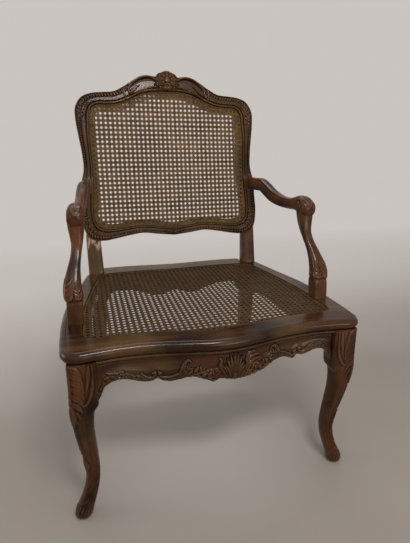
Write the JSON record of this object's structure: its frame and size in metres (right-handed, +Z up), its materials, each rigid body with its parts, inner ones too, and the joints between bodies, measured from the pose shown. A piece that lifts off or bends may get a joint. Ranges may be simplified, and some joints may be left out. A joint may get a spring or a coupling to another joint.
{
  "type": "caned armchair",
  "caption": "Open armchair with a carved, moulded wooden frame, cabriole front legs, scrolled arms and a caned seat and raked back, for one person to sit in",
  "frame": {"origin": "on the floor, at the centre of the chair's box in X and Y", "axes": "+X is the right of someone who looks at the chair's front, -Y is the front, +Z is up"},
  "size_m": [0.67, 0.6418, 0.9863],
  "materials": {
    "walnut": "old wax polish, dark and rubbed",
    "peg_wood": "old wax polish",
    "cane": "aged split cane"
  },
  "bodies": {
    "root": {"front_rail": "walnut", "rear_rail": "walnut", "side_rail_left": "walnut", "side_rail_right": "walnut", "front_leg_left": "walnut", "front_leg_right": "walnut", "rear_leg_left": "walnut", "rear_leg_right": "walnut", "crest_rail": "walnut", "lower_back_rail": "walnut", "arm_left": "walnut", "arm_right": "walnut", "arm_support_left": "walnut", "arm_support_right": "walnut", "seat_board_front": "walnut", "seat_board_rear": "walnut", "seat_board_left": "walnut", "seat_board_right": "walnut", "seat_cane": "cane", "back_cane": "cane", "peg_front_left_1": "peg_wood", "peg_front_left_2": "peg_wood", "peg_side_left_1": "peg_wood", "peg_side_left_2": "peg_wood", "peg_crest_left": "peg_wood", "peg_lower_left": "peg_wood", "peg_arm_left": "peg_wood", "peg_front_right_1": "peg_wood", "peg_front_right_2": "peg_wood", "peg_side_right_1": "peg_wood", "peg_side_right_2": "peg_wood", "peg_crest_right": "peg_wood", "peg_lower_right": "peg_wood", "peg_arm_right": "peg_wood"}
  },
  "joints": []
}
